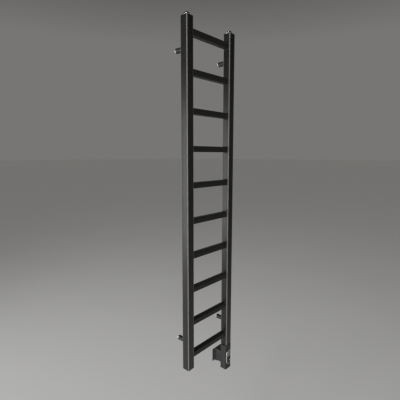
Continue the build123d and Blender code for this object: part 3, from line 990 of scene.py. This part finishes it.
# ---------------------------------------------------------------- the control head
@dataclass
class ControlFace:
    """The pill on the head's front: bright bezel, push key and smoked lens."""

    rim: float = 2.2 * MM
    round: float = 0.9 * MM
    crown: tuple[Point, ...] = ((1.6 * MM, 0.28 * MM), (2.4 * MM, 0.14 * MM), (3.0 * MM, 0.05 * MM))
    steps: int = 96

    def pill(self, name: str, low: Vector, high: Vector) -> bpy.types.Object:
        """Start a piece as an upright pill, flat in front and behind.

        Args:
            name: Name of the piece.
            low: Lowest corner of the pill's box.
            high: Highest corner of the pill's box.

        Returns:
            The pill.
        """
        centre = (low + high) / 2
        radius = (high.x - low.x) / 2
        stretch = (high.z - low.z) / 2 - radius
        deselect()
        bpy.ops.mesh.primitive_cylinder_add(
            vertices=self.steps,
            radius=radius,
            depth=high.y - low.y,
            location=centre,
            rotation=(math.pi / 2, 0, 0),
        )
        piece = bpy.context.object
        piece.name = name
        settle(piece)
        with editing(piece):
            for way in (1, -1):
                pick_points(piece, lambda point: way * (point.z - centre.z) > -MERGE * way)
                bpy.ops.transform.translate(value=(0, 0, way * stretch))
        return piece

    def bezel(self) -> None:
        """Model the bright ring round the window."""
        low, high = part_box("bezel")
        piece = self.pill("bezel_ring", low, high)
        with editing(piece):
            pick_faces(piece, lambda centre, normal: abs(normal.y) > 0.9)
            bpy.ops.mesh.inset(thickness=self.rim)
            bpy.ops.mesh.bridge_edge_loops()
            bpy.ops.mesh.select_all(action="SELECT")
            bpy.ops.mesh.normals_make_consistent(inside=False)
        ease(piece, self.round, segments=4)
        dress(piece, "bezel")

    def window(self, node: str, body: str, upper: bool) -> None:
        """Model the key or the lens, a crowned part of the pill with a lip behind.

        Args:
            node: CAD node that the piece stands for.
            body: Body that it moves with.
            upper: Whether it is the upper part.
        """
        low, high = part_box(node)
        bezel_low, bezel_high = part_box("bezel")
        spare = Vector((self.rim + 0.25 * MM, 0, self.rim + 0.25 * MM))
        front = Vector((bezel_low.x, low.y, bezel_low.z)) + spare
        back = Vector((bezel_high.x, high.y - 0.5 * MM, bezel_high.z)) - spare
        piece = self.pill(f"{node}_crowned", front, back)
        with editing(piece):
            bpy.ops.mesh.select_all(action="SELECT")
            edge = low.z if upper else high.z
            bpy.ops.mesh.bisect(
                plane_co=(0, 0, edge),
                plane_no=Z,
                clear_inner=upper,
                clear_outer=not upper,
                use_fill=True,
            )
            pick_faces(piece, lambda centre, normal: normal.y < -0.9)
            for thickness, rise in self.crown:
                bpy.ops.mesh.inset(thickness=thickness, depth=rise)
        lip_front = Vector((low.x, high.y - MM, bezel_low.z + self.rim - 0.6 * MM))
        lip_back = Vector((high.x, high.y, bezel_high.z - self.rim + 0.6 * MM))
        lip = self.pill(f"{node}_lip", lip_front, lip_back)
        with editing(lip):
            bpy.ops.mesh.select_all(action="SELECT")
            bpy.ops.mesh.bisect(
                plane_co=(0, 0, edge),
                plane_no=Z,
                clear_inner=upper,
                clear_outer=not upper,
                use_fill=True,
            )
        apply(piece, "BOOLEAN", operation="UNION", solver="EXACT", object=lip)
        bpy.data.objects.remove(lip)
        seal(piece)
        ease(piece, 0.3 * MM, segments=3)
        dress(piece, node, body)

    def build(self) -> None:
        """Make the bezel, the key and the lens."""
        self.bezel()
        self.window("power_key", "power_key", upper=True)
        self.window("display_lens", RAIL, upper=False)
        log.info("control face: bezel, key and lens")


@dataclass
class CableDuct:
    """The cable cover between the head and the wall, with its flanged collar."""

    wall: float = 2.0 * MM
    collar_reach: float = 2.0 * MM
    collar_gap: float = 0.3 * MM
    flange: float = 3.0 * MM
    round: float = 0.7 * MM

    def duct(self) -> None:
        """Model the duct, open at both ends."""
        low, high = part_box("cable_duct")
        piece = block("cable_duct_moulded", low, high)
        with editing(piece):
            pick_faces(piece, lambda centre, normal: abs(normal.y) > 0.9)
            bpy.ops.mesh.inset(thickness=self.wall)
            bpy.ops.mesh.bridge_edge_loops()
            bpy.ops.mesh.select_all(action="SELECT")
            bpy.ops.mesh.normals_make_consistent(inside=False)
        ease(piece, self.round, segments=3)
        dress(piece, "cable_duct")

    def collar(self) -> None:
        """Join collar and flange, and open them for the duct."""
        low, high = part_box("cable_duct")
        wall_low, wall_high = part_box("wall_collar")
        piece = block(
            "wall_collar_moulded",
            Vector((low.x - self.collar_reach, wall_low.y, wall_low.z)),
            Vector((high.x + self.collar_reach, wall_high.y, wall_high.z)),
        )
        flange = block(
            "flange", Vector((wall_low.x, wall_high.y - self.flange, wall_low.z)), wall_high
        )
        apply(piece, "BOOLEAN", operation="UNION", solver="EXACT", object=flange)
        bpy.data.objects.remove(flange)
        gap = self.collar_gap
        hole = block(
            "hole",
            Vector((low.x - gap, wall_low.y - MM, low.z - gap)),
            Vector((high.x + gap, wall_high.y + MM, high.z + gap)),
        )
        cut(piece, hole)
        ease(piece, self.round, segments=3)
        dress(piece, "wall_collar")

    def build(self) -> None:
        """Make the duct and its collar."""
        self.duct()
        self.collar()
        log.info("cable duct: duct and flanged collar")


# ---------------------------------------------------------------- the studio
@dataclass
class Studio:
    """Pale floor, soft light and the camera."""

    sky_low: float = 0.3
    sky_high: float = 0.6
    sky_bright: float = 0.46
    sky_dim: float = 0.04
    floor_drop: float = 0.55
    floor_size: float = 200.0
    eye: Vector = field(default_factory=lambda: Vector((-0.9003, -0.8186, 0.1638)))
    heading: float = 47.85
    tilt: float = -7.76
    lens: float = 29.67

    def floor(self) -> None:
        """Lay the floor under the rail."""
        deselect()
        bpy.ops.mesh.primitive_plane_add(
            size=self.floor_size, location=(0, 0, cad_low.z - self.floor_drop)
        )
        ground = bpy.context.object
        ground.name = "studio_floor"
        settle(ground)
        paper = Finish(
            "pale_paper",
            colour=(0.76, 0.755, 0.73),
            second=(0.80, 0.795, 0.77),
            roughness=0.85,
            grain_size=3 * MM,
            grain_depth=0.05 * MM,
            mottle_size=0.6,
            specular=0.2,
            glow=0.16,
        )
        ground.data.materials.append(paper.material())

    def light(self, name: str, place: Vector, aim: Vector, size: Point, power: float) -> None:
        """Hang a soft box.

        Args:
            name: Name of the light.
            place: Where it hangs.
            aim: Point that it faces.
            size: Width and height.
            power: Power in watts.
        """
        lamp = bpy.data.lights.new(name, "AREA")
        lamp.shape = "RECTANGLE"
        lamp.size, lamp.size_y = size
        lamp.energy = power
        box = bpy.data.objects.new(name, lamp)
        box.location = place
        box.rotation_euler = (aim - place).to_track_quat("-Z", "Y").to_euler()
        bpy.context.collection.objects.link(box)

    def lights(self) -> None:
        """Set a sky that is pale at the horizon and dim overhead, and the soft boxes."""
        world = bpy.data.worlds.new("studio_air")
        bpy.context.scene.world = world
        world.use_nodes = True
        sky = world.node_tree.nodes["Background"]
        sky.inputs["Color"].default_value = (0.40, 0.395, 0.38, 1.0)
        tree = world.node_tree
        place = tree.nodes.new("ShaderNodeTexCoord").outputs["Generated"]
        split = tree.nodes.new("ShaderNodeSeparateXYZ")
        fade = tree.nodes.new("ShaderNodeMapRange")
        fade.inputs["From Min"].default_value = self.sky_low
        fade.inputs["From Max"].default_value = self.sky_high
        fade.inputs["To Min"].default_value = self.sky_bright
        fade.inputs["To Max"].default_value = self.sky_dim
        tree.links.new(place, split.inputs["Vector"])
        tree.links.new(split.outputs["Z"], fade.inputs["Value"])
        tree.links.new(fade.outputs["Result"], sky.inputs["Strength"])
        middle = Vector((0, -0.03, -0.05))
        self.light("key_box", Vector((-2.2, 1.7, -0.1)), middle, (1.3, 2.6), 62)
        self.light("corner_strip", Vector((-1.55, -1.5, -0.15)), middle, (0.25, 2.0), 30)
        self.light("floor_box", Vector((-0.6, -2.4, -0.5)), middle, (1.6, 0.6), 3)
        self.light("top_box", Vector((-1.3, -0.1, 2.5)), middle, (0.7, 0.7), 26)

    def camera(self) -> None:
        """Place the camera at the front left, half way up the rail."""
        data = bpy.data.cameras.new("camera")
        data.lens = self.lens
        data.sensor_width = 36.0
        holder = bpy.data.objects.new("camera", data)
        holder.location = self.eye
        holder.rotation_euler = (
            math.radians(90 + self.tilt),
            0.0,
            -math.radians(self.heading),
        )
        bpy.context.collection.objects.link(holder)
        bpy.context.scene.camera = holder

    def build(self) -> None:
        """Make floor, lights and camera."""
        self.floor()
        self.lights()
        self.camera()
        log.info("studio: floor, soft boxes, camera")


def dress_nodes() -> None:
    """Give every CAD node the finish of its material slot."""
    for name, node in frame["nodes"].items():
        finish = FINISHES[slot_of(name)].material()
        for slot in node.material_slots:
            slot.material = finish
    log.info("dressed %d nodes", len(frame["nodes"]))


def main() -> None:
    """Build the looks in order."""
    logging.basicConfig(level=logging.INFO, format="%(name)s: %(message)s")
    Studio().build()
    dress_nodes()
    Ladder().build()
    Plug("top_left_plug", "left_post", up=1).build()
    Plug("top_right_vent_plug", "right_post", up=1, vented=True).build()
    Plug("bottom_left_plug", "left_post", up=-1).build()
    for corner in ("top_left", "top_right", "bottom_left", "bottom_right"):
        BracketSleeve(corner).build()
    ControlFace().build()
    CableDuct().build()
    log.info("size written")


if __name__ == "__main__":
    main()
